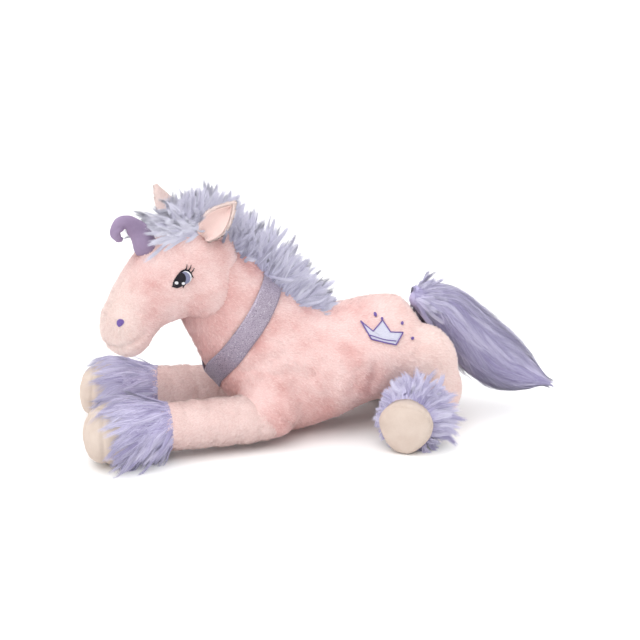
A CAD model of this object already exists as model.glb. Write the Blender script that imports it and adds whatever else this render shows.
import math

import bpy
import numpy as np
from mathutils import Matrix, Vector, noise
from mathutils.bvhtree import BVHTree


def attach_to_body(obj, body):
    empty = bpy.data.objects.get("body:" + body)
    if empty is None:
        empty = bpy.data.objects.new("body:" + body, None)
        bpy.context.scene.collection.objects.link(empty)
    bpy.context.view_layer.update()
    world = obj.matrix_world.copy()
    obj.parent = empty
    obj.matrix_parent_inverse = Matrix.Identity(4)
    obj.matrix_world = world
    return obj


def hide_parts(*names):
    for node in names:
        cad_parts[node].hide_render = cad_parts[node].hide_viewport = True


# Looks of a lying plush unicorn. Lengths are in millimetres until a mesh is made; the animal faces -Y.
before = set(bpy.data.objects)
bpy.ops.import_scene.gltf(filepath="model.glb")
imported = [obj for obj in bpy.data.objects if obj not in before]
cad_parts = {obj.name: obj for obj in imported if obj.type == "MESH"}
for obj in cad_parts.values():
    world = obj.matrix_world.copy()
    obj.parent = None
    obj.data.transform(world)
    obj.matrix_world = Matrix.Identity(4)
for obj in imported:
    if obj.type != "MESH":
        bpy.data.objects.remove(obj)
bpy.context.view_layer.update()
MM = 0.001
rng = np.random.default_rng(11)

NECK_AT = np.array([0.0, -112.0, 154.0])
HEAD_YAW = math.radians(20)
SHOULDER = np.array([46.0, -56.0, 29.0])
FORELEG_ANGLE = math.radians(6)
HIP = np.array([52.0, 86.0, 33.0])
HINDLEG_ANGLE = math.radians(62)
TAIL_AT = np.array([0.0, 102.0, 126.0])
COLLAR_AT = np.array([0.0, -83.0, 109.0])
COLLAR_TILT = math.radians(32.0)
RIBBON_WIDTH = 22.0
FLOOR_GAP = 0.4            # the least height of a skin above the floor
TAIL_LENGTH = 130
SIDES = (("left", 1), ("right", -1))
X, Y, Z = np.eye(3)

# Stations along Y and Z: (y, z, tilt, half width, half height).
TORSO = [
    (134, 50, -28, 18, 20), (124, 56, -24, 38, 42), (97, 67, -10, 52, 61), (58, 79, 0, 55, 52),
    (8, 67, 2, 55, 58), (-36, 66, 14, 53, 68), (-68, 97, 40, 46, 57), (-92, 131, 54, 40, 48),
    (-107, 156, 58, 36, 45),
]
HEAD = [
    (24, 26, -4, 15, 17), (14, 24, -4, 30, 34), (-18, 17, -8, 38, 43), (-46, 8, -22, 36, 40.5),
    (-70, -9, -40, 29.5, 31), (-82, -24, -52, 26, 27), (-88, -37, -58, 25, 24.5), (-93, -48, -62, 21, 19),
    (-96, -55, -62, 11, 10),
]
TAIL = [
    (-6, 4, 0, 14, 15), (12, -3, -20, 18, 24), (30, -15, -36, 19, 27), (51, -38, -42, 19, 30),
    (76, -62, -38, 19, 31), (102, -80, -36, 15, 25), (124, -91, -30, 9, 14), (140, -97, -26, 3, 4),
]
TAIL_CORE = [
    (-4, 5, 0, 8, 9), (12, -1, -20, 10, 13), (30, -13, -36, 11, 14), (51, -37, -42, 11, 15),
    (76, -60, -38, 9, 12), (100, -77, -35, 4, 5), (108, -82, -32, 1, 1),
]


# ---------- mesh helpers ----------
def unit(v):
    v = np.asarray(v, float)
    return v / np.maximum(np.linalg.norm(v, axis=-1, keepdims=True), 1e-9)


def make(name, verts, faces, material, smooth=True):
    """Mesh object from millimetre vertices."""
    mesh = bpy.data.meshes.new(name)
    mesh.from_pydata((np.asarray(verts, float) * MM).tolist(), [], [list(map(int, f)) for f in faces])
    mesh.polygons.foreach_set("use_smooth", [smooth] * len(mesh.polygons))
    mesh.update()
    obj = bpy.data.objects.new(name, mesh)
    bpy.context.collection.objects.link(obj)
    if material:
        mesh.materials.append(material)
    return obj


def coords(obj):
    co = np.empty(len(obj.data.vertices) * 3)
    obj.data.vertices.foreach_get("co", co)
    return co.reshape(-1, 3) / MM


def normals(obj):
    no = np.empty(len(obj.data.vertices) * 3)
    obj.data.vertex_normals.foreach_get("vector", no)
    return no.reshape(-1, 3)


def set_coords(obj, co):
    obj.data.vertices.foreach_set("co", (co * MM).ravel())
    obj.data.update()


def smooth_path(points, count):
    """Catmull-Rom through rows of numbers, evenly parameterised."""
    p = np.asarray(points, float)
    p = np.vstack([2 * p[0] - p[1], p, 2 * p[-1] - p[-2]])
    out = []
    for s in np.linspace(0, len(p) - 3, count):
        i = min(int(s), len(p) - 4)
        t = s - i
        a, b, c, d = p[i:i + 4]
        out.append(0.5 * (2 * b + (c - a) * t + (2 * a - 5 * b + 4 * c - d) * t * t
                          + (3 * b - a - 3 * c + d) * t ** 3))
    return np.array(out)


def grid_faces(rows, cols, wrap=True):
    """Quads between rows of points, where each row is a loop of cols points, or a strip without wrap."""
    faces = []
    for i in range(rows - 1):
        for j in range(cols if wrap else cols - 1):
            a, b = i * cols + j, i * cols + (j + 1) % cols
            faces.append((a, b, b + cols, a + cols))
    return faces


def tube(rings, segments=40):
    """Closed skin through rings of (centre, side axis, up axis, half width, half height)."""
    a = np.linspace(0, 2 * math.pi, segments, endpoint=False)
    verts = []
    for centre, side, up, wide, high in rings:
        verts.append(centre + np.outer(np.cos(a) * wide, side) + np.outer(np.sin(a) * high, up))
    verts = np.vstack(verts)
    n = len(rings)
    faces = grid_faces(n, segments)
    verts = np.vstack([verts, rings[0][0], rings[-1][0]])
    for j in range(segments):
        k = (j + 1) % segments
        faces.append((n * segments, k, j))
        faces.append((n * segments + 1, (n - 1) * segments + j, (n - 1) * segments + k))
    return verts, faces


def spine(stations, along=-1, count=40, at=(0, 0, 0)):
    """Rings across the middle plane, along smoothed (y, z, tilt, half width, half height) stations."""
    rings = []
    for y, z, tilt, wide, high in smooth_path(stations, count):
        t = math.radians(tilt)
        n = np.array([0, along * math.cos(t), math.sin(t)])
        rings.append((np.array([0, y, z]) + at, X, np.cross(n, X), max(wide, 1), max(high, 1)))
    return rings


def leg_axis(side, angle):
    """Level axis of a leg, from straight ahead out to its own side."""
    return np.array([side * math.sin(angle), -math.cos(angle), 0.0])


def leg_rings(at, side, angle, stations, count=30):
    """Rings along a leg, through smoothed (distance, rise, half width, half height) stations."""
    way = leg_axis(side, angle)
    across = np.cross(way, Z)
    at = at * [side, 1, 1]
    rings = []
    for s, rise, wide, high in smooth_path(stations, count):
        rings.append((at + way * s + Z * rise, across, Z, max(wide, 1), max(high, 1)))
    return rings


def blob(centre, radii, turn=0.0, segments=32, rings=18):
    """Ellipsoid, turned about Z."""
    v = []
    for i in range(rings + 1):
        p = math.pi * i / rings
        for j in range(segments):
            a = 2 * math.pi * j / segments
            v.append((math.sin(p) * math.cos(a), math.sin(p) * math.sin(a), math.cos(p)))
    v = np.array(v) * radii
    c, s = math.cos(turn), math.sin(turn)
    v = v @ np.array([[c, s, 0], [-s, c, 0], [0, 0, 1]])
    return v + centre, [(a, d, c, b) for a, b, c, d in grid_faces(rings + 1, segments)]


def fuse(name, shapes, voxel, smoothing, material):
    """One skin round overlapping closed shapes, smoothed so that they flow into each other."""
    verts, faces, base = [], [], 0
    for v, f in shapes:
        verts.append(v)
        faces += [[i + base for i in face] for face in f]
        base += len(v)
    rough = make(name + "_rough", np.vstack(verts), faces, None)
    mod = rough.modifiers.new("fuse", "REMESH")
    mod.mode = "VOXEL"
    mod.voxel_size = voxel * MM
    soft = rough.modifiers.new("soft", "SMOOTH")
    soft.factor = 0.5
    soft.iterations = smoothing
    graph = bpy.context.evaluated_depsgraph_get()
    mesh = bpy.data.meshes.new_from_object(rough.evaluated_get(graph))
    mesh.name = name
    bpy.data.objects.remove(rough)
    obj = bpy.data.objects.new(name, mesh)
    bpy.context.collection.objects.link(obj)
    mesh.materials.clear()
    mesh.materials.append(material)
    mesh.polygons.foreach_set("use_smooth", [True] * len(mesh.polygons))
    mesh.update()
    return obj


def thicken(obj, thickness, rounded=False):
    """Turn a single-walled shell into a thick one, and round its corners where asked."""
    wall = obj.modifiers.new("thick", "SOLIDIFY")
    wall.thickness = thickness * MM
    wall.offset = 0
    if rounded:
        sub = obj.modifiers.new("round", "SUBSURF")
        sub.levels = sub.render_levels = 1
    graph = bpy.context.evaluated_depsgraph_get()
    mesh = bpy.data.meshes.new_from_object(obj.evaluated_get(graph))
    obj.modifiers.clear()
    obj.data = mesh


def settle(obj, co):
    """Give a skin new points, with none of them below the floor."""
    co[:, 2] = np.maximum(co[:, 2], FLOOR_GAP)
    set_coords(obj, co)


def bumps(co, size, seed):
    """Smooth noise from -1 to 1 at each point."""
    off = Vector((seed * 17.3, seed * 5.1, seed * 9.7))
    return np.array([noise.noise(Vector(p) / size + off) for p in co])


def crease(co, points, width):
    """1 on a line through the points, falling to 0 a width away."""
    line = smooth_path(points, 40)
    d = np.full(len(co), 1e9)
    for p in line:
        d = np.minimum(d, np.linalg.norm(co - p, axis=1))
    return np.exp(-(d / width) ** 2)


def tone(obj, values):
    """Colour data at each vertex: shade, paleness, and place from root to tip."""
    layer = obj.data.color_attributes.new("tone", "FLOAT_COLOR", "POINT")
    rgba = np.ones((len(obj.data.vertices), 4))
    rgba[:, :3] = values
    layer.data.foreach_set("color", rgba.ravel())


def tint(obj, shade, pale=0.0, along=0.4):
    """Colour data of a skin: shade and paleness are one value each, or one for each vertex."""
    count = len(obj.data.vertices)
    columns = [np.broadcast_to(value, count) for value in (shade, pale, along)]
    tone(obj, np.column_stack(columns))


def mottled(co, size, fine, seed):
    """Patchy shade from 0 to 1, in large and fine patches."""
    return np.clip(0.5 + 0.5 * bumps(co, size, seed) + 0.25 * bumps(co, fine, seed + 1), 0, 1)


def surface(obj):
    """Search tree of a skin, in millimetres."""
    mesh = obj.data
    points = [v.co / MM for v in mesh.vertices]
    return BVHTree.FromPolygons(points, [tuple(p.vertices) for p in mesh.polygons])


# ---------- materials ----------
def srgb(r, g, b):
    """Linear colour from display values of 0 to 255."""
    def lin(c):
        c /= 255
        return c / 12.92 if c <= 0.04045 else ((c + 0.055) / 1.055) ** 2.4
    return (lin(r), lin(g), lin(b), 1)


def set_inputs(node, values):
    for key, value in values.items():
        node.inputs[key].default_value = value


class Shader:
    """Small builder for node materials."""

    def __init__(self, name, rough, sheen=0.0, sheen_tint=(1, 1, 1, 1)):
        self.mat = bpy.data.materials.new(name)
        self.mat.use_nodes = True
        self.tree = self.mat.node_tree
        self.bsdf = self.tree.nodes["Principled BSDF"]
        set_inputs(self.bsdf, {"Roughness": rough, "Sheen Weight": sheen, "Sheen Roughness": 0.45,
                               "Sheen Tint": sheen_tint, "Specular IOR Level": 0.25})
        self.place = self.node("ShaderNodeTexCoord").outputs["Object"]

    def node(self, kind, inputs=None, **settings):
        n = self.tree.nodes.new(kind)
        for key, value in settings.items():
            setattr(n, key, value)
        set_inputs(n, inputs or {})
        return n

    def link(self, a, b):
        self.tree.links.new(a, b)

    def noise(self, scale, detail=3.0, rough=0.6):
        n = self.node("ShaderNodeTexNoise", {"Scale": scale, "Detail": detail, "Roughness": rough})
        self.link(self.place, n.inputs["Vector"])
        return n.outputs["Fac"]

    def cells(self, scale):
        n = self.node("ShaderNodeTexVoronoi", {"Scale": scale})
        self.link(self.place, n.inputs["Vector"])
        return n.outputs["Color"]

    def ramp(self, fac, *stops):
        n = self.node("ShaderNodeValToRGB")
        while len(n.color_ramp.elements) < len(stops):
            n.color_ramp.elements.new(0.5)
        for e, (at, colour) in zip(n.color_ramp.elements, stops):
            e.position = at
            e.color = colour
        self.link(fac, n.inputs["Fac"])
        return n.outputs["Color"]

    def mix(self, fac, a, b, kind="MIX"):
        n = self.node("ShaderNodeMix", data_type="RGBA", blend_type=kind)
        for socket, value in ((n.inputs[0], fac), (n.inputs[6], a), (n.inputs[7], b)):
            if isinstance(value, (int, float, tuple)):
                socket.default_value = value
            else:
                self.link(value, socket)
        return n.outputs[2]

    def tones(self):
        n = self.node("ShaderNodeAttribute", attribute_name="tone")
        s = self.node("ShaderNodeSeparateColor")
        self.link(n.outputs["Color"], s.inputs["Color"])
        return s.outputs["Red"], s.outputs["Green"], s.outputs["Blue"]

    def colour(self, socket):
        self.link(socket, self.bsdf.inputs["Base Color"])

    def rough(self, socket, low, high):
        n = self.node("ShaderNodeMapRange", {"To Min": low, "To Max": high})
        self.link(socket, n.inputs["Value"])
        self.link(n.outputs["Result"], self.bsdf.inputs["Roughness"])

    def fibre_normal(self):
        """Light every fibre by its stored normal, on both of its faces."""
        n = self.node("ShaderNodeAttribute", attribute_name="lit")
        t = self.node("ShaderNodeVectorTransform", vector_type="NORMAL",
                      convert_from="OBJECT", convert_to="WORLD")
        self.link(n.outputs["Vector"], t.inputs["Vector"])
        self.link(t.outputs["Vector"], self.bsdf.inputs["Normal"])

    def bump(self, socket, strength, distance):
        n = self.node("ShaderNodeBump", {"Strength": strength, "Distance": distance * MM})
        self.link(socket, n.inputs["Height"])
        self.link(n.outputs["Normal"], self.bsdf.inputs["Normal"])


def plush(name, dark, mid, light, pale, root=0.80, fibre=False):
    """Short pile: mottled by tone, paling where asked, darker between the fibres."""
    s = Shader(name, 0.85, 0.35, light)
    shade, paleness, along = s.tones()
    c = s.ramp(shade, (0.0, dark), (0.45, mid), (1.0, light))
    c = s.mix(paleness, c, pale)
    depth = s.ramp(along, (0.0, (root, root * 0.94, root * 0.94, 1)), (1.0, (1, 1, 1, 1)))
    s.colour(s.mix(1.0, c, depth, "MULTIPLY"))
    grain = s.noise(900, 4, 0.7)
    if fibre:
        s.fibre_normal()
    else:
        s.bump(grain, 0.5, 1.2)
    s.rough(grain, 0.75, 0.95)
    return s.mat


def long_pile(name, dark, mid, light, gleam):
    """Long fibres: shaded lock by lock, darker at their roots."""
    s = Shader(name, 0.55, 0.3, gleam)
    shade, paleness, along = s.tones()
    c = s.ramp(shade, (0.0, dark), (0.5, mid), (1.0, light))
    c = s.mix(paleness, c, gleam)
    roots, middle, tips = (0.84, 0.81, 0.90, 1), (0.97, 0.96, 0.99, 1), (1, 1, 1, 1)
    depth = s.ramp(along, (0.0, roots), (0.35, middle), (1.0, tips))
    s.colour(s.mix(1.0, c, depth, "MULTIPLY"))
    s.rough(shade, 0.5, 0.65)
    s.fibre_normal()
    return s.mat


def nap(name, dark, light, scale=1400, sheen=0.4, bump=0.4):
    """Short-napped cloth."""
    s = Shader(name, 0.85, sheen, light)
    big = s.noise(45, 3)
    fine = s.noise(scale, 3, 0.7)
    c = s.ramp(big, (0.3, dark), (0.7, light))
    s.colour(s.mix(0.35, c, s.ramp(fine, (0.3, dark), (0.7, light))))
    s.bump(fine, bump, 0.8)
    s.rough(fine, 0.7, 0.95)
    return s.mat


def thread(name, dark, light, angle=0.6, shine=0.35):
    """Satin stitch: fine raised parallel threads."""
    s = Shader(name, shine, 0.2, light)
    m = s.node("ShaderNodeMapping", {"Rotation": (angle, 0.0, 0.0)})
    s.link(s.place, m.inputs["Vector"])
    w = s.node("ShaderNodeTexWave", {"Scale": 900, "Distortion": 1.5}, wave_type="BANDS", bands_direction="Y")
    s.link(m.outputs["Vector"], w.inputs["Vector"])
    s.colour(s.ramp(w.outputs["Fac"], (0.1, dark), (0.8, light)))
    s.bump(w.outputs["Fac"], 0.6, 0.4)
    s.rough(w.outputs["Fac"], shine + 0.2, shine)
    return s.mat


PINK = plush("pink_plush", srgb(226, 172, 168), srgb(244, 206, 202), srgb(250, 220, 216),
             srgb(246, 226, 218), 0.86)
PINK_PILE = plush("pink_pile", srgb(228, 174, 170), srgb(248, 214, 210), srgb(255, 229, 226),
                  srgb(250, 234, 227), 0.88, True)
FUR = long_pile("lavender_pile", srgb(150, 142, 182), srgb(196, 190, 220), srgb(218, 214, 236),
                srgb(238, 239, 247))
FUR_DARK = nap("lavender_backing", srgb(172, 164, 202), srgb(196, 190, 222), 700)
CREAM = nap("cream_plush", srgb(196, 178, 166), srgb(212, 197, 186), 1200)
LINING = nap("ear_lining", srgb(222, 192, 186), srgb(236, 208, 202), 1200)
VELOUR = nap("horn_velour", srgb(130, 112, 140), srgb(160, 143, 172), 1700, 0.5, 0.3)
BLACK = thread("thread_black", srgb(14, 10, 18), srgb(40, 36, 48), 0.4)
IRIS = thread("thread_iris", srgb(112, 112, 146), srgb(160, 162, 190), 0.2)
WHITE = thread("thread_white", srgb(225, 225, 232), srgb(250, 250, 252), 0.9)
VIOLET = thread("thread_violet", srgb(96, 74, 146), srgb(136, 112, 184), 0.5)
SILVER = thread("thread_silver", srgb(190, 190, 214), srgb(232, 232, 244), 1.1, 0.28)


def glitter(name):
    """Ribbon covered in fine flakes that each catch the light differently."""
    s = Shader(name, 0.4, 0.1)
    flakes = s.cells(1500)
    fine = s.cells(3600)
    c = s.ramp(flakes, (0.1, srgb(118, 104, 126)), (0.5, srgb(150, 137, 156)),
               (0.84, srgb(178, 167, 184)), (1.0, srgb(250, 248, 252)))
    f = s.ramp(fine, (0.0, srgb(124, 110, 130)), (1.0, srgb(184, 174, 190)))
    c = s.mix(0.4, c, f)
    parts = s.node("ShaderNodeSeparateXYZ")
    s.link(s.place, parts.inputs["Vector"])
    high = s.node("ShaderNodeMapRange", {"From Min": 0.07, "From Max": 0.15})
    s.link(parts.outputs["Z"], high.inputs["Value"])
    shine = s.ramp(high.outputs["Result"], (0.0, (0.76, 0.76, 0.76, 1)), (1.0, (1.35, 1.38, 1.32, 1)))
    s.colour(s.mix(1.0, c, shine, "MULTIPLY"))
    s.bsdf.inputs["Metallic"].default_value = 0.35
    s.bump(flakes, 0.5, 0.5)
    s.rough(flakes, 0.22, 0.6)
    return s.mat


GLITTER = glitter("glitter_ribbon")


# ---------- pile ----------
def strands(count):
    """How many long strands to draw."""
    return int(count * (1.0))


def blades(count):
    """How many short blades to draw."""
    return int(count * (1.0))


def sample(obj, count, keep=None):
    """Random points on a mesh's faces, with their normals and tones."""
    mesh = obj.data
    mesh.calc_loop_triangles()
    tri = np.empty(len(mesh.loop_triangles) * 3, int)
    mesh.loop_triangles.foreach_get("vertices", tri)
    tri = tri.reshape(-1, 3)
    co, no = coords(obj), normals(obj)
    a, b, c = co[tri[:, 0]], co[tri[:, 1]], co[tri[:, 2]]
    area = np.linalg.norm(np.cross(b - a, c - a), axis=1)
    pick = rng.choice(len(tri), count, p=area / area.sum())
    r = rng.random((count, 2))
    r[r.sum(1) > 1] = 1 - r[r.sum(1) > 1]
    w = np.column_stack([1 - r.sum(1), r])
    t = tri[pick]
    p = (co[t] * w[:, :, None]).sum(1)
    n = unit((no[t] * w[:, :, None]).sum(1))
    tones = np.empty(len(co) * 4)
    mesh.color_attributes["tone"].data.foreach_get("color", tones)
    q = (tones.reshape(-1, 4)[t, :3] * w[:, :, None]).sum(1)
    if keep is not None:
        k = keep(p, n)
        p, n, q = p[k], n[k], q[k]
    return p, n, q


def fibres(name, paths, width, shade, paleness, shading, material, profile=None, twist=0.3):
    """Flat tapered fibres along paths (count, points, 3), lit by the normals in shading."""
    count, points, _ = paths.shape
    t = np.linspace(0, 1, points)
    if profile is None:
        profile = 1 - 0.85 * t ** 1.5
    tangent = unit(np.gradient(paths, axis=1))
    side = unit(np.cross(tangent, shading + rng.normal(0, twist, (count, 1, 3))))
    half = side * (profile[None, :, None] * np.reshape(width, (-1, 1, 1)) / 2)
    verts = np.stack([paths - half, paths + half], axis=2).reshape(-1, 3)
    base = (np.arange(count) * points * 2)[:, None]
    i = np.arange(points - 1) * 2
    quads = np.stack([base + i, base + i + 1, base + i + 3, base + i + 2], axis=2).reshape(-1, 4)
    mesh = bpy.data.meshes.new(name)
    mesh.vertices.add(len(verts))
    mesh.vertices.foreach_set("co", (verts * MM).ravel())
    mesh.loops.add(quads.size)
    mesh.loops.foreach_set("vertex_index", quads.ravel().astype(np.int32))
    mesh.polygons.add(len(quads))
    mesh.polygons.foreach_set("loop_start", np.arange(len(quads), dtype=np.int32) * 4)
    mesh.polygons.foreach_set("use_smooth", np.ones(len(quads), bool))
    mesh.update(calc_edges=True)
    mesh.materials.append(material)
    obj = bpy.data.objects.new(name, mesh)
    bpy.context.collection.objects.link(obj)
    values = np.empty((count, points, 2, 3))
    values[..., 0] = np.reshape(shade, (-1, 1, 1))
    values[..., 1] = np.reshape(paleness, (-1, 1, 1))
    values[..., 2] = t[None, :, None]
    tone(obj, values.reshape(-1, 3))
    columns, rows = 48, 8
    u = np.floor(np.clip(np.reshape(shade, (-1, 1)), 0, 0.999) * columns)
    row = np.floor(np.clip(np.reshape(paleness, (-1, 1)), 0, 0.999) * rows)
    uv = np.empty((count, points - 1, 4, 2))
    lo, hi = t[:-1][None, :], t[1:][None, :]
    for corner, (du, dv) in enumerate(((0.1, lo), (0.9, lo), (0.9, hi), (0.1, hi))):
        uv[:, :, corner, 0] = (u + du) / columns
        uv[:, :, corner, 1] = (row + 0.05 + 0.9 * dv) / rows
    layer = mesh.uv_layers.new(name="OFBake")
    layer.data.foreach_set("uv", uv.ravel())
    if shading.shape[1] != points:
        shading = np.repeat(shading, points, 1)
    lit = unit(np.repeat(shading, 2, axis=1)).reshape(-1, 3)
    mesh.normals_split_custom_set_from_vertices(lit.tolist())
    mesh.attributes.new("lit", "FLOAT_VECTOR", "POINT").data.foreach_set("vector", lit.ravel())
    obj.visible_shadow = False
    return obj


def short_pile(name, skin, count, length, flow, material, keep=None, width=0.9):
    """Blades that stand off a skin and lean with the nap, which runs along flow."""
    p, n, q = sample(skin, blades(count), keep)
    lean = flow + rng.normal(0, 0.35, p.shape)
    lean -= n * (lean * n).sum(1, keepdims=True)
    way = unit(n * 0.34 + unit(lean) * 0.92 + rng.normal(0, 0.12, p.shape))
    size = length * rng.uniform(0.7, 1.25, (len(p), 1))
    paths = np.stack([p - n * 0.3, p + way * size], axis=1)
    shade = np.clip(q[:, 0] + rng.normal(0, 0.12, len(p)), 0, 1)
    lit = unit(n + rng.normal(0, 0.16, n.shape))[:, None, :]
    widths = width * rng.uniform(0.7, 1.2, len(p))
    return fibres(name, paths, widths, shade, q[:, 1], lit, material, np.array([1, 0.3]), 0.1)


def nearest_lock(places, tufts):
    """Which of the tufts is nearest to each strand."""
    near = np.empty(len(places), int)
    for s in range(0, len(places), 2000):
        gaps = places[s:s + 2000, None] - places[tufts][None]
        near[s:s + 2000] = np.linalg.norm(gaps, axis=2).argmin(1)
    return near


def locks(roots, ways, lengths, tufts, wave, spread, droop, points=7, clump=0.55):
    """Paths of clumped long fibres: each follows its nearest lock's curve and closes on it at the tip."""
    count = len(roots)
    guides = rng.choice(count, min(tufts, count), replace=False)
    t = np.linspace(0, 1, points)[None, :, None]
    g_way = unit(ways[guides] + rng.normal(0, spread, (len(guides), 3)))
    g_len = lengths[guides][:, None] * rng.uniform(0.75, 1.2, (len(guides), 1))
    phase = rng.uniform(0, 6.28, (len(guides), 1, 1))
    sway = unit(np.cross(g_way, rng.normal(0, 1, (len(guides), 3))))[:, None, :]
    g_path = g_way[:, None, :] * t * g_len[:, None, :]
    g_path = g_path + sway * np.sin(t * 5.0 + phase) * wave * t - sway * np.sin(phase) * wave * t
    g_path[..., 2] -= (droop * t[..., 0] ** 2 * g_len)
    near = nearest_lock(roots, guides)
    offset = roots - roots[guides][near]
    scale = rng.uniform(0.8, 1.08, (count, 1, 1))
    pull = 1 - clump * t ** 0.8
    loose = rng.normal(0, 0.8, (count, 1, 3)) * t
    paths = roots[guides][near][:, None, :] + g_path[near] * scale + offset[:, None, :] * pull + loose
    return paths, near


def push_out(paths, origin, way, along, radii):
    """Keep strands outside a rounded form about an axis, whose radii are given along it."""
    rel = paths - origin
    s = rel @ way
    out = rel - s[..., None] * way
    r = np.maximum(np.linalg.norm(out, axis=2), 1e-6)
    least = np.interp(s, along, radii) + 0.6 + 2.5 * rng.random((len(paths), 1)) * (s > along[0])
    grown = np.maximum(r, np.where(s < along[-1], least, 0))
    return origin + s[..., None] * way + out * (grown / r)[..., None]


def fur(name, body, nodes, growth, tufts, pale=0.0, shade=0.5, clear=None, width=0.55, **shape):
    """Long clumped fur. clear is a form that it has to stay outside of."""
    roots, norms, ways, lengths = growth
    paths, near = locks(roots, ways, lengths, tufts, **shape)
    if clear:
        paths = push_out(paths, *clear)
    paths[..., 2] = np.maximum(paths[..., 2], 0.5)
    shade = np.clip(rng.normal(shade, 0.2, tufts)[near] + rng.normal(0, 0.18, len(roots)), 0, 1)
    along = unit(np.gradient(paths, axis=1))
    lit = norms[:, None, :] + along * 0.25 + np.array([0, 0, 0.35]) + rng.normal(0, 0.22, (len(roots), 1, 3))
    paleness = np.clip(pale + rng.normal(0, 0.12, len(roots)), 0, 0.9)
    widths = width * rng.uniform(0.6, 1.3, len(roots))
    strip = fibres(name, paths, widths, shade, paleness, unit(lit), FUR)
    attach(strip, body, *nodes, slot="lavender_pile")


# ---------- trims laid on a skin ----------
class Sheet:
    """Maps (u, v) in millimetres onto a skin along one direction."""

    def __init__(self, skin_tree, origin, right, up, inward):
        self.tree = skin_tree
        self.origin, self.right, self.up = (np.asarray(a, float) for a in (origin, right, up))
        self.inward = unit(inward)

    def at(self, u, v, lift=0.0):
        start = self.origin + self.right * u + self.up * v - self.inward * 90
        hit, normal, _, _ = self.tree.ray_cast(Vector(start), Vector(self.inward))
        if hit is None:
            near, normal, _, _ = self.tree.find_nearest(Vector(start + self.inward * 60))
            hit = near
        return np.array(hit) + np.array(normal) * lift, np.array(normal)


def patch(name, sheet, outline, thick, material, centre=None, base=0.0, rings=6):
    """Raised shape whose outline is a closed loop of (u, v), star-shaped about its centre."""
    line = np.asarray(outline, float)
    c = line.mean(0) if centre is None else np.asarray(centre, float)
    n = len(line)
    verts = []
    steps = [(1.0, -0.8), (1.0, 0.35), (0.94, 0.85)] + [(s, 1.0) for s in np.linspace(0.8, 0.15, rings)]
    for scale, height in steps:
        for p in c + (line - c) * scale:
            verts.append(sheet.at(*p, base + thick * height)[0])
    verts.append(sheet.at(*c, base + thick)[0])
    faces = grid_faces(len(steps), n)
    last = (len(steps) - 1) * n
    for j in range(n):
        faces.append((last + j, last + (j + 1) % n, len(verts) - 1))
    return make(name, verts, faces, material)


def stroke(name, sheet, points, width, thick, material, base=0.0, count=None, taper=False, closed=False):
    """Raised stitched line along (u, v) points, straight between them unless a count smooths it."""
    pts = np.asarray(points, float)
    if closed:
        pts = np.vstack([pts, pts[:1]])
    if count:
        pts = smooth_path(pts, count)
    else:
        fine = [np.linspace(a, b, 8, endpoint=False) for a, b in zip(pts[:-1], pts[1:])]
        pts = np.vstack(fine + [pts[-1:]])
    placed = [sheet.at(u, v, base) for u, v in pts]
    p = np.array([a for a, _ in placed])
    n = unit(np.array([b for _, b in placed]))
    tangent = unit(np.gradient(p, axis=0))
    side = unit(np.cross(tangent, n))
    t = np.linspace(0, 1, len(p))
    w = width / 2 * (np.sqrt(np.clip(1 - t, 0.02, 1)) if taper else np.ones(len(p)))
    verts = []
    for across, height in ((-1, -0.6), (-0.8, 0.6), (0, 1), (0.8, 0.6), (1, -0.6)):
        verts.append(p + side * (across * w)[:, None] + n * thick * height)
    m = len(p)
    verts = np.vstack(verts)
    faces = grid_faces(5, m, wrap=False)
    faces.append([r * m for r in range(5)])
    faces.append([r * m + m - 1 for r in reversed(range(5))])
    return make(name, verts, faces, material)


def attach(piece, body, *nodes, slot=None, fill=None):
    """Say what body a piece rides on, what nodes it stands for, and its material slot and fill."""
    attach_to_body(piece, body)
    if nodes:
        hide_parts(*nodes)
    return piece


def pink_pile(name, body, skin, count, length, flow, **options):
    """Short pile that grows out of a pink skin."""
    attach(short_pile(name, skin, count, length, flow, PINK_PILE, **options), body, slot="pink_plush")


def turn_head(v):
    """From the head's own axes (left, back, up) to the frame."""
    c, s = math.cos(HEAD_YAW), math.sin(HEAD_YAW)
    v = np.asarray(v, float)
    return v @ np.array([[c, s, 0], [-s, c, 0], [0, 0, 1]])


def head_point(v):
    return turn_head(v) + NECK_AT


# ---------- torso ----------
neck_end = [(-116, 168, 60, 31, 38), (-122, 178, 60, 20, 24)]
shapes = [tube(spine(TORSO + neck_end, count=60), 56)]
for side in (1, -1):
    shapes.append(blob([side * 29, 98, 58], [30, 38, 50], side * 0.1))
    shapes.append(blob([side * 33, -50, 52], [24, 36, 40], side * 0.1))
    shapes.append(blob([side * 42, -60, 36], [28, 31, 29]))
    shapes.append(blob([side * 33, 108, 42], [26, 31, 36]))
torso = fuse("torso_skin", shapes, voxel=2.6, smoothing=18, material=PINK)
co, no = coords(torso), normals(torso)
dent = np.zeros(len(co))
folds = [
    ([(48, 36, 20), (55, 42, 48), (52, 44, 78)], 5, 3.5),
    ([(50, 30, 30), (56, 24, 50), (54, 26, 70)], 5, 1.4),
    ([(60, -34, 16), (68, -46, 34), (66, -64, 50), (58, -80, 60)], 3.5, 2.6),
    ([(54, -10, 22), (60, -20, 44), (56, -34, 62)], 5, 1.5),
    ([(44, -78, 62), (50, -62, 70), (52, -40, 74), (53, -22, 70)], 4, 2.6),
    ([(42, -84, 76), (48, -72, 84), (50, -52, 90)], 4, 1.8),
    ([(40, -92, 92), (46, -74, 102), (46, -56, 108)], 4, 1.5),
    ([(48, -58, 56), (54, -40, 58), (58, -16, 46), (54, -2, 30)], 5, 1.2),
    ([(45, 70, 30), (60, 78, 50), (54, 92, 66)], 5, 1.5),
    ([(50, -10, 24), (57, -4, 50), (54, 2, 74)], 6, 1.2),
]
for points, width, depth in folds:
    for side in (1, -1):
        line = [(side * a, b, c) for a, b, c in points]
        dent += depth * 1.15 * crease(co, line, width + 2.0)
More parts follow.
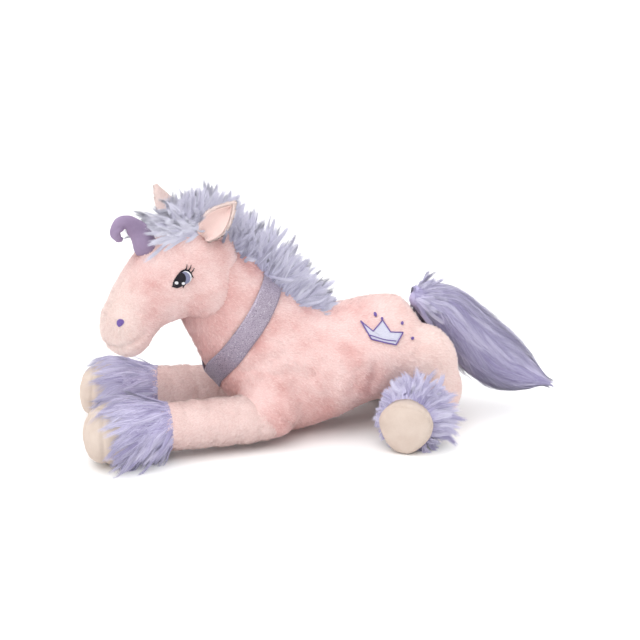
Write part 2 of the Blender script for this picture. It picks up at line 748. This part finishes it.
lumps = bumps(co, 34, 1) * 1.5 + bumps(co, 14, 2) * 0.6 + bumps(co, 7, 35) * 0.25
back_seam = np.exp(-(co[:, 0] / 2.2) ** 2) * (co[:, 2] > 60) * 1.0
co += no * (lumps - dent - back_seam)[:, None]
settle(torso, co)
mottle = mottled(co, 26, 9, 3)
throat = np.clip((-co[:, 1] - 72) / 30, 0, 1)
low = np.clip((62 - co[:, 2]) / 30, 0, 1) * np.clip((70 - co[:, 1]) / 30, 0, 1)
mottle *= 1 - 0.65 * np.maximum(throat, 0.7 * low)
tint(torso, mottle, np.clip((co[:, 1] - 40) / 60, 0, 1) * 0.55)
attach(torso, "torso", "torso_cover", "torso_filling", slot="pink_plush", fill=0.85)
torso_tree = surface(torso)


def above_floor(p, n):
    """Leaves out the belly where it lies on the floor."""
    return (p[:, 2] > 3) & ~((n[:, 2] < -0.9) & (p[:, 2] < 8))


pink_pile("torso_pile", "torso", torso, 90000, 3.0, Y - Z * 0.55, keep=above_floor)

sleeve = [(-4, -12, 58, 20, 24), (-2, -4, 58, 28, 31), (0, 4, 58, 30, 32), (-4, 14, 58, 22, 24)]
neck = make("neck_sleeve", *tube(spine(sleeve, count=16, at=NECK_AT), 32), PINK)
tint(neck, 0.5)
attach(neck, "neck", "neck_cover", "neck_filling", slot="pink_plush", fill=0.8)

# ---------- head ----------
shapes = [tube(spine(HEAD, count=50), 56)]
for side in (1, -1):
    shapes.append(blob([side * 19, -12, 2], [23, 31, 31]))
    shapes.append(blob([side * 15, -42, 20], [19.5, 21, 21]))
    shapes.append(blob([side * 11, -86, -32], [14, 16, 17]))
head = fuse("head_skin", shapes, voxel=2.2, smoothing=10, material=PINK)
co, no = coords(head), normals(head)
dent = np.zeros(len(co))
for side in (1, -1):
    mouth = [(side * 4, -108, -46), (side * 16, -101, -44), (side * 24, -87, -38), (side * 29, -72, -31)]
    dent += 3.4 * crease(co, mouth, 2.6)
    dent += 2.0 * crease(co, [(side * 34, -50, 12), (side * 36, -42, 9), (side * 37, -34, 12)], 5)
    dent += 1.4 * crease(co, [(side * 33, -55, 22), (side * 31, -52, 32)], 5)
    dent -= 2.0 * crease(co, [(side * 16, -100, -18), (side * 18, -98, -26)], 8)
    dent += 1.6 * crease(co, [(side * 20, -92, -8), (side * 27, -82, -16), (side * 28, -76, -26)], 6)
middle_seam = np.exp(-(co[:, 0] / 1.8) ** 2) * 0.6
co += no * (bumps(co, 30, 5) * 1.0 + bumps(co, 11, 6) * 0.45 - dent - middle_seam)[:, None]
pale_muzzle = np.clip((-co[:, 1] - 74) / 26, 0, 1) * 0.8
tint(head, mottled(co, 22, 8, 7), pale_muzzle)
set_coords(head, head_point(co))
attach(head, "head", "head_cover", "head_filling", slot="pink_plush", fill=0.85)
head_tree = surface(head)
pink_pile("head_pile", "head", head, 60000, 2.3, turn_head([0, 1.0, -0.35]), width=0.8)

# ---------- eyes and nostrils ----------
EYE_RIM = [
    (-11, -8), (-8.5, -2.5), (-4.5, 3), (0.5, 6.6), (5.5, 6.4), (8.5, 2.8), (8, -1.5), (4.5, -5.2),
    (-0.5, -8), (-5.5, -9.8),
]
EYE_PARTS = [   # part, u, v, half width, half height, lift, material, slot
    ("white", 2.8, -0.2, 5.0, 5.6, 1.3, WHITE, "thread_silver"),
    ("iris", 1.5, -0.5, 4.9, 5.3, 1.6, IRIS, "thread_silver"),
    ("pupil", -1.4, -0.4, 3.6, 4.6, 2.0, BLACK, "thread_black"),
    ("glint_0", -6.2, -4.2, 1.7, 1.5, 2.1, WHITE, "thread_silver"),
    ("glint_1", -0.4, -4.8, 1.3, 1.2, 2.4, WHITE, "thread_silver"),
]
LASHES = [
    [(3, 6.4), (4.6, 8.4), (5.4, 11.4)], [(5.4, 5.4), (7.6, 7.6), (9.2, 10.6)],
    [(7.2, 3.4), (9.6, 5.0), (11.6, 7.6)], [(7.2, 3), (8.6, 0.6), (10, -1.4)],
    [(2, -6), (0.6, -8), (0, -10.4)],
]
NOSTRIL = [
    (-3.4, 1.8), (-1, 3.4), (2.6, 3.0), (4.0, 0.6), (1.6, -2.0), (-1.8, -3.6), (-3.8, -1.0), (-3.4, 1.8),
]


def oval(u, v, wide, high, count):
    """Closed loop of (u, v) points round a centre."""
    turns = np.linspace(0, 6.283, count, endpoint=False)
    return [(u + wide * math.cos(a), v + high * math.sin(a)) for a in turns]


def embroider_eye(name, side):
    """Rim, white, iris, pupil, glints and lashes."""
    sheet = Sheet(head_tree, head_point([0, -43, 19]), turn_head([0, 1, 0]), Z, turn_head([-side, 0, 0]))
    rim = smooth_path(EYE_RIM + EYE_RIM[:1], 48)[:-1]
    eye = patch(f"eye_{name}_rim", sheet, rim, 0.9, BLACK, base=0.5)
    attach(eye, "head", f"eye_{name}", slot="thread_black")
    for part, u, v, wide, high, lift, material, slot in EYE_PARTS:
        ring = oval(u, v, wide, high, 32)
        attach(patch(f"eye_{name}_{part}", sheet, ring, 0.4, material, base=lift, rings=3), "head", slot=slot)
    for k, line in enumerate(LASHES):
        piece = stroke(f"lash_{name}_{k}", sheet, line, 1.5, 0.8, BLACK, base=0.6, count=12, taper=True)
        attach(piece, "head", *([f"lashes_{name}"] if k == 0 else []), slot="thread_black")


def embroider_nostril(name, side):
    """Drop-shaped patch on the front of the muzzle."""
    sheet = Sheet(head_tree, head_point([side * 17, -99, -20]), turn_head([-side * 0.2, 1, 0]), Z,
                  unit(turn_head([-side * 0.92, 0.4, 0])))
    drop = smooth_path(NOSTRIL, 28)[:-1]
    piece = patch(f"nostril_{name}_stitch", sheet, drop, 0.9, VIOLET, base=0.6)
    attach(piece, "head", f"nostril_{name}", slot="thread_violet")


for name, side in SIDES:
    embroider_eye(name, side)
    embroider_nostril(name, side)

# ---------- horn ----------
HORN = [    # (x, y, z, radius)
    (0, -56, 31, 12.4), (0, -61, 42, 12.4), (0, -66, 52, 11.2), (0, -72, 61, 9.4), (0, -79, 67, 7.8),
    (0, -87, 68, 6.6), (0, -93, 62, 5.4), (0, -91, 55, 4.0), (0, -87, 53, 2),
]


def horn_shape(segments=40):
    """Tube along HORN, with a groove that winds round it."""
    line = smooth_path(HORN, 60)
    axis = unit(np.gradient(line[:, :3], axis=0))
    verts = []
    for i, (p, n) in enumerate(zip(line, axis)):
        up = np.cross(n, X)
        for j in range(segments):
            a = 2 * math.pi * j / segments
            swell = 0.05 * math.cos(a - i * 0.42)
            groove = 0.2 * max(0.0, math.cos(a - i * 0.17 + 0.6)) ** 7
            r = p[3] * (1 + swell - groove)
            verts.append(p[:3] + X * math.cos(a) * r + up * math.sin(a) * r)
    faces = grid_faces(len(line), segments)
    faces.append(list(range((len(line) - 1) * segments, len(line) * segments)))
    faces.append(list(reversed(range(segments))))
    verts = np.array(verts)
    verts += unit(verts - verts.mean(0)) * (bumps(verts, 7, 9) * 0.7)[:, None]
    return head_point(verts), faces


horn = make("horn_skin", *horn_shape(), VELOUR)
attach(horn, "horn", "horn_cover", "horn_filling", slot="horn_velvet", fill=0.8)

# ---------- ears ----------
EAR_LENGTH = 45
EAR_HALF_WIDTH = 14
EAR_PARTS = [   # part, share of the size, offset, thickness, paleness, material, node, slot
    ("outer", 1.0, -1.6, 2.6, 0.75, PINK, "outer", "pink_plush"),
    ("inner", 0.86, 0.7, 1.0, 0.6, LINING, "lining", "cream_plush"),
]


def ear_shape(root, up, across, face, grow, offset):
    """Cupped leaf that curls back towards its tip."""
    rows, cols = 22, 17
    verts = []
    for i in range(rows):
        t = i / (rows - 1)
        half = EAR_HALF_WIDTH * grow * (math.sin(math.pi * min(t * 0.93 + 0.10, 1)) ** 0.75) * (1 - 0.25 * t)
        half = max(half, 0.4)
        high = EAR_LENGTH * (0.04 + t * 0.96) * (grow * 0.5 + 0.5)
        curl = 3.0 * t * t
        for j in range(cols):
            s = j / (cols - 1) * 2 - 1
            cup = 7.5 * (s * s) * (1 - 0.55 * t) - 2.5
            verts.append(root + up * high + across * s * half + face * (cup + offset) - face * curl)
    return head_point(np.array(verts)), grid_faces(rows, cols, wrap=False)


def build_ear(name, side, rise, lean, faces_out):
    """Pink shell with pile, and its lining."""
    up = unit([side * 0.36, lean, 0.80])
    face = np.array([side * faces_out, -0.66, 0.02])
    face = unit(face - up * np.dot(up, face))
    root = np.array([side * 28, -16, rise]) - up * 4
    body = f"ear_{name}"
    for part, grow, offset, thickness, pale, material, node, slot in EAR_PARTS:
        shape = ear_shape(root, up, np.cross(up, face), face, grow, offset)
        ear = make(f"ear_{name}_{part}_shell", *shape, material)
        thicken(ear, thickness, rounded=True)
        tint(ear, np.clip(0.55 + 0.5 * bumps(coords(ear), 9, 12), 0, 1), pale, 0.5)
        attach(ear, body, f"ear_{name}_{node}", slot=slot)
        if part == "outer":
            pink_pile(f"ear_{name}_pile", body, ear, 7000, 2.8, turn_head(up), width=0.7)


build_ear("left", 1, rise=54.5, lean=0.66, faces_out=0.75)
build_ear("right", -1, rise=56.5, lean=-0.45, faces_out=1.3)

# ---------- legs ----------
# Stations along a leg: (distance, rise, half width, half height).
FORELEG = [
    (-20, 0, 5, 5), (-15, 0, 13, 13), (-4, 0, 19, 19), (14, 0, 23, 23), (50, 0, 23.5, 23.5),
    (95, 1, 23, 23), (124, 2, 22, 22),
]
FORE_HOOF = [
    (116, 2, 18, 18), (126, 2.5, 25, 25), (138, 3, 29, 30), (154, 2.5, 31, 31), (170, 1, 28, 27),
    (180, -1, 19, 18), (184, -1, 6, 6),
]
HINDLEG = [
    (-24, 0, 6, 6), (-18, 0, 17, 17), (-6, 0, 24, 24), (8, -1, 25, 25), (24, -4, 24, 24), (34, -6, 21, 21),
]
HIND_HOOF = [
    (28, -6, 17, 17), (34, -7, 24, 24), (46, -7.5, 26, 25), (53, -7.5, 24.5, 23.5), (57, -7.5, 18, 17),
    (59, -7.5, 7, 7),
]
HIND_HOOF_RISE = -7.5
WRINKLES = [(16, 1.6), (38, 0.9), (64, 1.1), (88, 0.8)]     # distance along the fore leg, and depth


def around(way, turns):
    """Directions square to a level axis."""
    return np.outer(np.cos(turns), np.cross(way, Z)) + np.outer(np.sin(turns), Z)


def build_foreleg(name, side):
    """Pink leg with a few wrinkles across it."""
    body = f"foreleg_{name}"
    way, shoulder = leg_axis(side, FORELEG_ANGLE), SHOULDER * [side, 1, 1]
    rings = leg_rings(SHOULDER, side, FORELEG_ANGLE, FORELEG, 44)
    leg = fuse(f"foreleg_{name}_skin", [tube(rings, 40)], voxel=2.4, smoothing=4, material=PINK)
    co, no = coords(leg), normals(leg)
    wrinkle = np.zeros(len(co))
    for s, depth in WRINKLES:
        d = (co - shoulder) @ way - s - 5 * bumps(co, 20, 13 + s)
        wrinkle += depth * np.exp(-(d / 3.2) ** 2)
    co += no * (bumps(co, 24, 14 + side) * 1.1 + bumps(co, 10, 16) * 0.4 - wrinkle)[:, None]
    settle(leg, co)
    tint(leg, mottled(co, 22, 8, 17) * 0.5 + 0.35, 0.3)
    attach(leg, body, f"foreleg_{name}_cover", f"foreleg_{name}_filling", slot="pink_plush", fill=0.8)
    pink_pile(f"foreleg_{name}_pile", body, leg, 32000, 2.7, way - Z * 0.3)


def build_fore_hoof(name, side):
    """Cream hoof with a cleft in front and a seam round its sole."""
    way, shoulder = leg_axis(side, FORELEG_ANGLE), SHOULDER * [side, 1, 1]
    rings = leg_rings(SHOULDER, side, FORELEG_ANGLE, FORE_HOOF, 40)
    hoof = fuse(f"fore_hoof_{name}_skin", [tube(rings, 48)], voxel=2.0, smoothing=3, material=CREAM)
    co, no = coords(hoof), normals(hoof)
    rel = co - shoulder
    s, x = rel @ way, rel @ np.cross(way, Z)
    cleft = 2.6 * np.exp(-(x / 2.6) ** 2) * np.clip((s - 150) / 15, 0, 1)
    seam = 1.6 * np.exp(-((s - 168 - 2 * np.sin(x / 6)) / 2.0) ** 2)
    co += no * (bumps(co, 16, 19 + side) * 0.9 + bumps(co, 6, 20) * 0.35 - cleft - seam)[:, None]
    settle(hoof, co)
    attach(hoof, f"foreleg_{name}", f"fore_hoof_{name}_cover", f"fore_hoof_{name}_filling",
           slot="cream_plush", fill=0.75)


def build_fore_cuff(name, side):
    """Long fur that falls over the hoof and stays outside of it."""
    way, shoulder = leg_axis(side, FORELEG_ANGLE), SHOULDER * [side, 1, 1]
    n = strands(18000)
    turns = rng.uniform(0, 2 * math.pi, n)
    s = 103 + 38 * rng.beta(1.1, 1.15, n)
    radial = around(way, turns)
    radius = np.interp(s, [96, 112, 126, 136, 148], [22.5, 23.5, 25, 28.5, 30.5])
    roots = shoulder + np.outer(s, way) + radial * radius[:, None] + Z * 2
    ways = unit(radial * 0.34 + way * np.interp(s, [100, 134], [0.8, 1.15])[:, None] - Z * 0.34)
    lengths = rng.uniform(26, 38, n) * np.interp(radial[:, 2], [-0.9, -0.2], [0.45, 1])
    hoof = (shoulder + Z * 2.5, way, (112, 126, 138, 154, 170, 182), (22, 25.5, 29.5, 31.5, 28, 16))
    growth = (roots, radial, ways, lengths)
    fur(f"fore_cuff_{name}_fur", f"foreleg_{name}", [f"fore_cuff_{name}"], growth, 380,
        wave=2.4, droop=0.1, spread=0.2, pale=0.06, shade=0.36, clear=hoof)


def build_hindleg(name, side):
    """Short pink leg between the haunch and its cuff."""
    body = f"hindleg_{name}"
    rings = leg_rings(HIP, side, HINDLEG_ANGLE, HINDLEG, 30)
    leg = fuse(f"hindleg_{name}_skin", [tube(rings, 40)], voxel=2.4, smoothing=4, material=PINK)
    co, no = coords(leg), normals(leg)
    co += no * (bumps(co, 20, 24) * 1.0)[:, None]
    settle(leg, co)
    tint(leg, np.clip(0.5 + 0.55 * bumps(co, 15, 25), 0, 1), 0.4)
    attach(leg, body, f"hindleg_{name}_cover", f"hindleg_{name}_filling", slot="pink_plush", fill=0.8)
    pink_pile(f"hindleg_{name}_pile", body, leg, 11000, 2.7, leg_axis(side, HINDLEG_ANGLE) - Z * 0.4)


def build_hind_hoof(name, side):
    """Cream hoof, slightly three-lobed, with a puckered seam round its sole."""
    way, hip = leg_axis(side, HINDLEG_ANGLE), HIP * [side, 1, 1]
    rings = leg_rings(HIP, side, HINDLEG_ANGLE, HIND_HOOF, 40)
    hoof = fuse(f"hind_hoof_{name}_skin", [tube(rings, 48)], voxel=1.9, smoothing=3, material=CREAM)
    co, no = coords(hoof), normals(hoof)
    rel = co - hip
    s, x, z = rel @ way, rel @ np.cross(way, Z), rel[:, 2] - HIND_HOOF_RISE
    turns = np.arctan2(z, x)
    seam = 1.5 * np.exp(-((s - 50.5) / 1.6) ** 2) * (1 + 0.35 * np.sin(turns * 26))
    lobes = 1 + 0.07 * np.sin(3 * turns) * np.clip((s - 40) / 10, 0, 1)
    centre = hip + np.outer(s, way) + Z * HIND_HOOF_RISE
    swell = bumps(co, 14, 27 + side) * 0.9 + bumps(co, 6, 28) * 0.3 - seam
    co = centre + (co - centre) * lobes[:, None] + no * swell[:, None]
    settle(hoof, co)
    attach(hoof, f"hindleg_{name}", f"hind_hoof_{name}_cover", f"hind_hoof_{name}_filling",
           slot="cream_plush", fill=0.75)


def build_hind_cuff(name, side):
    """Ruff of fur that stands off the leg behind the hoof."""
    way, hip = leg_axis(side, HINDLEG_ANGLE), HIP * [side, 1, 1]
    n = strands(16000)
    turns = rng.uniform(0, 2 * math.pi, n)
    s = 14 + 28 * rng.beta(1.2, 1.2, n)
    radial = around(way, turns)
    radius = np.interp(s, [12, 26, 42], [24, 24.5, 25])
    sink = np.interp(s, [12, 42], [1, 6])
    roots = hip + np.outer(s, way) + radial * radius[:, None] - Z * sink[:, None]
    ways = unit(radial * 0.95 - way * np.interp(s, [14, 42], [0.35, 0.05])[:, None] - Z * 0.1)
    above = np.clip(radial @ unit(np.array([side * 0.2, 0.8, 0.6])), -0.6, 1)
    lengths = rng.uniform(18, 26, n) * (0.6 + 0.5 * above)
    growth = (roots, unit(radial * 0.3 + way * 0.7 + Z * 0.6), ways, lengths)
    fur(f"hind_cuff_{name}_fur", f"hindleg_{name}", [f"hind_cuff_{name}"], growth, 320,
        wave=2.0, droop=0.16, spread=0.25, pale=0.1, shade=0.45)


for name, side in SIDES:
    build_foreleg(name, side)
    build_fore_hoof(name, side)
    build_fore_cuff(name, side)
    build_hindleg(name, side)
    build_hind_hoof(name, side)
    build_hind_cuff(name, side)


# ---------- collar ----------
def build_collar():
    """Ribbon round the neck, with a dip at the throat, laid on the torso skin."""
    tilt = COLLAR_TILT + 0.07
    axis = np.array([0, -math.cos(tilt), math.sin(tilt)])
    up = np.cross(axis, X)
    rows, cols = 9, 120
    bases, outs, radii = [], [], []
    for j in range(cols):
        a = 2 * math.pi * j / cols
        out = X * math.sin(a) - up * math.cos(a)
        dip = -9.0 * math.exp(-(math.sin(a / 2) / 0.16) ** 2)
        for i in range(rows):
            base = COLLAR_AT + axis * ((i / (rows - 1) - 0.5) * RIBBON_WIDTH + dip)
            hit = torso_tree.ray_cast(Vector(base + out * 120), Vector(-out))[0]
            bases.append(base)
            outs.append(out)
            radii.append(np.linalg.norm(np.array(hit) - base) if hit else 48.0)
    radii = np.array(radii).reshape(cols, rows)
    for _ in range(6):
        radii = np.maximum(radii, (np.roll(radii, 1, 0) + np.roll(radii, -1, 0) + radii) / 3)
    radii = 0.45 * radii + 0.55 * np.maximum(radii.mean(1, keepdims=True), radii - 1.0)
    outs = np.array(outs).reshape(cols, rows, 3)
    grid = np.array(bases).reshape(cols, rows, 3) + outs * (radii + 2.4)[..., None]
    ripple = np.array([bumps(grid[:, i], 12, 31 + i) for i in range(rows)]).T * 0.5
    edge = np.linspace(-1, 1, rows) ** 2
    grid = grid + outs * (ripple - edge[None, :] * 0.5)[..., None]
    faces = []
    for j in range(cols):
        k = (j + 1) % cols
        for i in range(rows - 1):
            faces.append((j * rows + i, j * rows + i + 1, k * rows + i + 1, k * rows + i))
    collar = make("collar_ribbon", grid.reshape(-1, 3), faces, GLITTER)
    thicken(collar, 0.9)
    attach(collar, "torso", "collar_band", slot="glitter_ribbon")


build_collar()

# ---------- crown ----------
CROWN = [(-18.5, 10.5), (-8.6, 2.4), (2.3, 11.4), (8.4, 1.4), (20.6, 0.6), (12.2, -9.6), (-11.4, -3.8)]
BAND = [(-12.5, -0.4), (0, -4.2), (12.5, -6.4)]
DOTS = [(-3.2, 15.8, 1.5), (21.5, 8.1, 1.3), (30, -5.5, 1.4), (2.3, 12.4, 1.2)]    # (u, v, radius)

flank = Sheet(torso_tree, [0, 52, 105], Y, Z, [-1, 0, 0])
outline = np.vstack([np.linspace(a, b, 8, endpoint=False) for a, b in zip(CROWN, CROWN[1:] + CROWN[:1])])
piece = patch("crown_fill", flank, outline, 0.8, SILVER, centre=(0, -3), base=1.2)
attach(piece, "torso", "crown_patch", slot="thread_silver")
piece = stroke("crown_border", flank, CROWN, 1.2, 0.8, VIOLET, base=1.9, closed=True)
attach(piece, "torso", "crown_edging", slot="thread_violet")
piece = stroke("crown_band", flank, BAND, 1.0, 0.8, VIOLET, base=2.0, count=20)
attach(piece, "torso", slot="thread_violet")
for k, (u, v, r) in enumerate(DOTS):
    piece = patch(f"sparkle_{int(u + 40)}", flank, oval(u, v, r, r, 14), 0.9, VIOLET, base=1.6, rings=2)
    attach(piece, "torso", *(["sparkle_dots"] if k == 0 else []), slot="thread_violet")


# ---------- mane ----------
def crest(line, count, length, way, width):
    """Roots, facings, ways and lengths of strands along a line of (y, z), standing up and back."""
    path = smooth_path(line, 200)
    pick = rng.random(count)
    at = path[(pick * 199).astype(int)]
    off = rng.uniform(-1, 1, count)
    level = np.zeros(count)
    roots = np.column_stack([off * width, at[:, 0], at[:, 1] - np.abs(off) ** 2 * width * 0.5 - 2])
    ways = unit(np.array([way(p) for p in pick]) + np.column_stack([off * 0.75, level, level]))
    norms = unit(ways * 0.3 + np.column_stack([np.sign(off) * 0.8, level, level + 0.4]))
    lengths = np.interp(pick, np.linspace(0, 1, len(length)), length) * rng.uniform(0.8, 1.12, count)
    return roots, norms, ways, lengths


def turned(roots, norms, ways, lengths):
    """The same strands, moved from the head's own axes to the frame."""
    return head_point(roots), turn_head(norms), turn_head(ways), lengths


withers = crest([(-86, 178), (-66, 175), (-50, 152), (-32, 134), (-14, 127), (-2, 125)], strands(34000),
                (40, 46, 48, 42, 31, 17), lambda t: (0, 0.12 + 0.75 * t, 0.95 - 0.35 * t), 8)
fur("mane_withers_fur", "torso", ["mane_withers"], withers, 420, wave=3.0, droop=0.08, spread=0.2, pale=0.4)

nape = crest([(-104, 196), (-92, 190), (-80, 182)], strands(11000), (36, 40), lambda t: (0, 0.3, 0.95), 8)
fur("mane_crest_fur", "neck", ["mane_crest"], nape, 140, wave=3.0, droop=0.06, spread=0.2, pale=0.4)

poll = crest([(-34, 62), (-14, 63), (6, 60), (22, 48)], strands(26000), (24, 32, 35, 32),
             lambda t: (0, -0.1 + 0.75 * t, 0.95), 9)
fur("mane_poll_fur", "head", ["mane_poll"], turned(*poll), 300, wave=3.0, droop=0.05, spread=0.22, pale=0.45)


def build_forelock():
    """Fur that lies forward over the brow."""
    n = strands(22000)
    u, v, level = rng.uniform(-1, 1, n), rng.random(n), np.zeros(n)
    roots = np.column_stack([u * 20, -2 - v * 37, 62 - u ** 2 * 7 - v * 5])
    norms = unit(np.column_stack([u * 0.6, level - 0.25, level + 0.8]))
    ways = unit(np.column_stack([u * 0.4, level - 0.92, 0.46 - 0.14 * v]))
    brow = turned(roots, norms, ways, rng.uniform(25, 38, n))
    fur("forelock_fur", "head", ["forelock"], brow, 260,
        wave=3.0, droop=0.16, spread=0.2, pale=0.55, shade=0.8)


build_forelock()


# ---------- tail ----------
def build_tail_root():
    """Soft core of the tail, and the fur that hides where it joins the rump."""
    core = make("tail_core_skin", *tube(spine(TAIL_CORE, 1, 40, TAIL_AT), 24), FUR_DARK)
    attach(core, "tail", "tail_core", slot="lavender_pile", fill=0.5)
    root = make("tail_root_skin", *blob(TAIL_AT, [9.6, 9.6, 9.6]), FUR_DARK)
    attach(root, "tail_root", "tail_base", slot="lavender_pile")
    n = strands(11000)
    radial = unit(rng.normal(0, 1, (n, 3)) + [0, -0.3, 0.1])
    ways = unit(radial * np.array([0.75, 0.5, 0.7]) + np.array([0, 0.9, -0.2]))
    growth = (TAIL_AT + radial * 9, radial, ways, rng.uniform(18, 29, n))
    fur("tail_root_fur", "tail_root", [], growth, 130, clump=0.5, wave=2.0, spread=0.25, width=0.6,
        shade=0.4, pale=0.12, droop=0.1)


def build_tail_plume():
    """Locks that start on the core and fan out to the outline of TAIL."""
    n, steps = strands(30000), 9
    shell, core = smooth_path(TAIL, 200), smooth_path(TAIL_CORE, 200)
    start = rng.beta(0.85, 1.2, n) * 0.86
    turn = rng.uniform(0, 2 * math.pi, n)
    from_core = core[(start * 199).astype(int)]
    tufts = rng.choice(n, 380, replace=False)
    near = nearest_lock(np.column_stack([start * TAIL_LENGTH, np.cos(turn) * 14, np.sin(turn) * 14]), tufts)
    span = rng.uniform(0.26, 0.40, n)
    lock_reach = rng.uniform(0.85, 1.18, len(tufts))[near]
    lock_end = rng.uniform(0.93, 1.09, len(tufts))[near] + rng.uniform(-0.02, 0.02, n)
    reach = np.minimum(span * lock_reach, lock_end - start)
    phase = rng.uniform(0, 6.28, len(tufts))[near]
    lock_turn = turn[tufts][near]
    lock_turn = lock_turn + np.round((turn - lock_turn) / 6.2832) * 6.2832
    paths, norms = np.empty((n, steps, 3)), np.empty((n, steps, 3))
    level = np.zeros(n)
    for j in range(steps):
        q = j / (steps - 1)
        at = start + reach * q
        y, z, tilt, wide, high = shell[np.clip((at * 199).astype(int), 0, 199)].T
        tilt = np.radians(tilt)
        gather, fan = 0.75 * q ** 0.8, q ** 0.7
        angle = turn * (1 - gather) + lock_turn * gather
        angle = angle + 0.16 * np.sin(q * 6 + phase) * q
        wide = from_core[:, 3] * (1 - fan) + wide * fan * lock_reach
        high = from_core[:, 4] * (1 - fan) + high * fan * lock_reach
        up = np.column_stack([level, np.sin(-tilt), np.cos(tilt)])
        along = np.column_stack([level, np.cos(tilt), np.sin(tilt)])
        past_end = (at - np.minimum(at, 1.0)) * TAIL_LENGTH
        centre = np.column_stack([level, y, z]) + TAIL_AT + along * past_end[:, None]
        radial = np.outer(np.cos(angle) * wide, X) + up * (np.sin(angle) * high)[:, None]
        paths[:, j] = centre + radial + rng.normal(0, 0.15, (n, 3))
        norms[:, j] = unit(radial)
    paths[..., 2] = np.maximum(paths[..., 2], 0.6)
    shade = rng.normal(0.27, 0.2, len(tufts))[near] + rng.normal(0, 0.18, n)
    shade = np.clip(shade - 0.12 * start - 0.15 * (norms[:, 5, 2] < -0.2), 0, 1)
    lit = unit(norms + np.array([0, 0, 0.3]) + rng.normal(0, 0.22, (n, 1, 3)))
    widths = 0.6 * rng.uniform(0.6, 1.3, n)
    paleness = np.clip(rng.normal(0.05, 0.12, n), 0, 0.9)
    plume = fibres("tail_fur_plume", paths, widths, shade, paleness, lit, FUR)
    attach(plume, "tail", "tail_fur", slot="lavender_pile")


build_tail_root()
build_tail_plume()


# ---------- floor, light, camera ----------
def plain_floor():
    """Wide pale floor."""
    shader = Shader("floor_pale", 0.9)
    shader.colour(shader.ramp(shader.noise(2.0), (0.0, (0.95, 0.95, 0.95, 1)), (1.0, (0.97, 0.97, 0.97, 1))))
    reach, depth = 400000, -0.2
    verts = [(-reach, -reach, depth), (reach, -reach, depth), (reach, reach, depth), (-reach, reach, depth)]
    return make("floor", verts, [(0, 1, 2, 3)], shader.mat, False)


def studio():
    """White surroundings that dim upward."""
    world = bpy.data.worlds.new("studio")
    bpy.context.scene.world = world
    world.use_nodes = True
    nodes, links = world.node_tree.nodes, world.node_tree.links
    place = nodes.new("ShaderNodeTexCoord")
    split = nodes.new("ShaderNodeSeparateXYZ")
    band = nodes.new("ShaderNodeMapRange")
    set_inputs(band, {"From Min": 0.2, "From Max": 0.3, "To Min": 1.05, "To Max": 0.46})
    links.new(place.outputs["Generated"], split.inputs["Vector"])
    links.new(split.outputs["Z"], band.inputs["Value"])
    links.new(band.outputs["Result"], nodes["Background"].inputs["Strength"])
    set_inputs(nodes["Background"], {"Color": (1, 1, 1, 1)})


def light(name, way, strength, spread):
    """Broad soft lamp far off along a direction."""
    lamp = bpy.data.lights.new(name, "SUN")
    lamp.energy = strength
    lamp.angle = math.radians(spread)
    obj = bpy.data.objects.new(name, lamp)
    bpy.context.collection.objects.link(obj)
    obj.location = way
    obj.rotation_euler = Vector(way).to_track_quat("Z", "Y").to_euler()


def add_camera(azimuth, elevation, distance, target, view_width):
    """Camera on a sphere round the target; view_width is what it sees across at that distance."""
    level = math.cos(elevation)
    back = Vector((math.sin(azimuth) * level, -math.cos(azimuth) * level, math.sin(elevation)))
    lens = bpy.data.cameras.new("camera")
    lens.sensor_width = 36
    lens.lens = 36 / (view_width / distance)
    camera = bpy.data.objects.new("camera", lens)
    bpy.context.collection.objects.link(camera)
    camera.location = target + back * distance
    camera.rotation_euler = (-back).to_track_quat("-Z", "Y").to_euler()
    bpy.context.scene.camera = camera


floor = plain_floor()
studio()
light("key", (0.34, -0.42, 0.86), 2.15, 70)
light("top", (-0.1, 0.25, 1.0), 0.95, 90)
light("fill", (-0.6, 0.65, 0.5), 0.6, 60)
add_camera(azimuth=math.radians(78), elevation=math.radians(16), distance=1.25,
           target=Vector((0, 0, 0.110)), view_width=0.64)
bpy.context.scene.view_settings.view_transform = "Standard"
